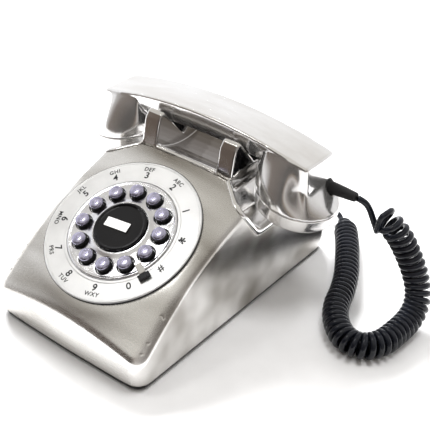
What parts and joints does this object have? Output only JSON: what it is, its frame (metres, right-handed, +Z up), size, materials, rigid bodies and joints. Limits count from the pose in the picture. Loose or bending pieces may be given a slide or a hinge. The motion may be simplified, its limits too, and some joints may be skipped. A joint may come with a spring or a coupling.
{
  "type": "desk telephone",
  "caption": "Wedge-shaped desk telephone with a round push-button dial face, a cradle with horns, a lift-off handset and a curly cord.",
  "frame": {"origin": "on the table, under the middle of the telephone without its cord", "axes": "+X to the right, where the cord leaves the handset, -Y to the front, +Z up"},
  "size_m": [0.3121, 0.2856, 0.1396],
  "materials": {
    "brushed": "brushed across the face, satin, warm grey",
    "chrome": "mirror polished",
    "satin": "satin silver white",
    "steel": "plain bright steel",
    "black": "fine satin",
    "gloss": "high gloss",
    "rubber": "matt",
    "cord": "satin vinyl",
    "lens": "clear dome over a silver insert",
    "card": "paper card behind a clear film",
    "board": "solder mask",
    "clear": "clear plastic"
  },
  "bodies": {
    "base": {"shell": "brushed", "base_plate": "black", "foot_front_left": "rubber", "foot_rear_left": "rubber", "foot_front_right": "rubber", "foot_rear_right": "rubber", "shell_screw_front": "steel", "shell_screw_rear": "steel", "main_board": "board", "ringer": "black", "line_jack": "black", "cord_jack": "black", "cradle": "chrome", "hook_switch": "steel", "number_ring": "satin", "finger_wheel": "chrome", "keypad_housing": "satin", "centre_disc": "gloss", "label_card": "card", "finger_stop": "chrome", "stop_block": "black", "key_mat": "rubber", "key_board": "board", "cord_plug": "clear", "cord_tail": "cord", "cord_coil": "cord", "cord_lead": "cord"},
    "handset": {"handset_body": "chrome", "mouth_cap": "chrome", "mouth_capsule": "black", "ear_cap": "chrome", "ear_capsule": "black", "strain_relief": "rubber"},
    "hook_plunger_left": {"hook_plunger_left": "black"},
    "hook_plunger_right": {"hook_plunger_right": "black"},
    "hook_lever": {"hook_lever": "steel"},
    "button_2": {"button_2": "black", "button_cap_2": "lens"},
    "button_1": {"button_1": "black", "button_cap_1": "lens"},
    "button_star": {"button_star": "black", "button_cap_star": "lens"},
    "button_hash": {"button_hash": "black", "button_cap_hash": "lens"},
    "button_0": {"button_0": "black", "button_cap_0": "lens"},
    "button_9": {"button_9": "black", "button_cap_9": "lens"},
    "button_8": {"button_8": "black", "button_cap_8": "lens"},
    "button_7": {"button_7": "black", "button_cap_7": "lens"},
    "button_6": {"button_6": "black", "button_cap_6": "lens"},
    "button_5": {"button_5": "black", "button_cap_5": "lens"},
    "button_4": {"button_4": "black", "button_cap_4": "lens"},
    "button_3": {"button_3": "black", "button_cap_3": "lens"}
  },
  "joints": [
    {"name": "handset_lift", "type": "slide", "parent": "base", "child": "handset", "axis": [0, 0, 1], "range_m": [0, 0.06]},
    {"name": "hook_plunger_left_slide", "type": "slide", "parent": "base", "child": "hook_plunger_left", "axis": [0, 0, 1], "range_m": [0, 0.006]},
    {"name": "hook_plunger_right_slide", "type": "slide", "parent": "base", "child": "hook_plunger_right", "axis": [0, 0, 1], "range_m": [0, 0.006]},
    {"name": "hook_lever_pivot", "type": "hinge", "parent": "base", "child": "hook_lever", "pos_m": [0, 0.073, 0.08], "axis": [-1, 0, 0], "range_deg": [0, 13.5]},
    {"name": "button_2_press", "type": "slide", "parent": "base", "child": "button_2", "axis": [0, 0.4548, -0.8906], "range_m": [0, 0.002], "stiffness_N_per_m": 400, "springref_m": -0.0008},
    {"name": "button_1_press", "type": "slide", "parent": "base", "child": "button_1", "axis": [0, 0.4548, -0.8906], "range_m": [0, 0.002], "stiffness_N_per_m": 400, "springref_m": -0.0008},
    {"name": "button_star_press", "type": "slide", "parent": "base", "child": "button_star", "axis": [0, 0.4548, -0.8906], "range_m": [0, 0.002], "stiffness_N_per_m": 400, "springref_m": -0.0008},
    {"name": "button_hash_press", "type": "slide", "parent": "base", "child": "button_hash", "axis": [0, 0.4548, -0.8906], "range_m": [0, 0.002], "stiffness_N_per_m": 400, "springref_m": -0.0008},
    {"name": "button_0_press", "type": "slide", "parent": "base", "child": "button_0", "axis": [0, 0.4548, -0.8906], "range_m": [0, 0.002], "stiffness_N_per_m": 400, "springref_m": -0.0008},
    {"name": "button_9_press", "type": "slide", "parent": "base", "child": "button_9", "axis": [0, 0.4548, -0.8906], "range_m": [0, 0.002], "stiffness_N_per_m": 400, "springref_m": -0.0008},
    {"name": "button_8_press", "type": "slide", "parent": "base", "child": "button_8", "axis": [0, 0.4548, -0.8906], "range_m": [0, 0.002], "stiffness_N_per_m": 400, "springref_m": -0.0008},
    {"name": "button_7_press", "type": "slide", "parent": "base", "child": "button_7", "axis": [0, 0.4548, -0.8906], "range_m": [0, 0.002], "stiffness_N_per_m": 400, "springref_m": -0.0008},
    {"name": "button_6_press", "type": "slide", "parent": "base", "child": "button_6", "axis": [0, 0.4548, -0.8906], "range_m": [0, 0.002], "stiffness_N_per_m": 400, "springref_m": -0.0008},
    {"name": "button_5_press", "type": "slide", "parent": "base", "child": "button_5", "axis": [0, 0.4548, -0.8906], "range_m": [0, 0.002], "stiffness_N_per_m": 400, "springref_m": -0.0008},
    {"name": "button_4_press", "type": "slide", "parent": "base", "child": "button_4", "axis": [0, 0.4548, -0.8906], "range_m": [0, 0.002], "stiffness_N_per_m": 400, "springref_m": -0.0008},
    {"name": "button_3_press", "type": "slide", "parent": "base", "child": "button_3", "axis": [0, 0.4548, -0.8906], "range_m": [0, 0.002], "stiffness_N_per_m": 400, "springref_m": -0.0008}
  ],
  "couplings": [
    {"joint": "hook_plunger_left_slide", "follows": "handset_lift", "ratio": 0.1},
    {"joint": "hook_plunger_right_slide", "follows": "handset_lift", "ratio": 0.1},
    {"joint": "hook_lever_pivot", "follows": "handset_lift", "rad_per_m": 3.9}
  ]
}
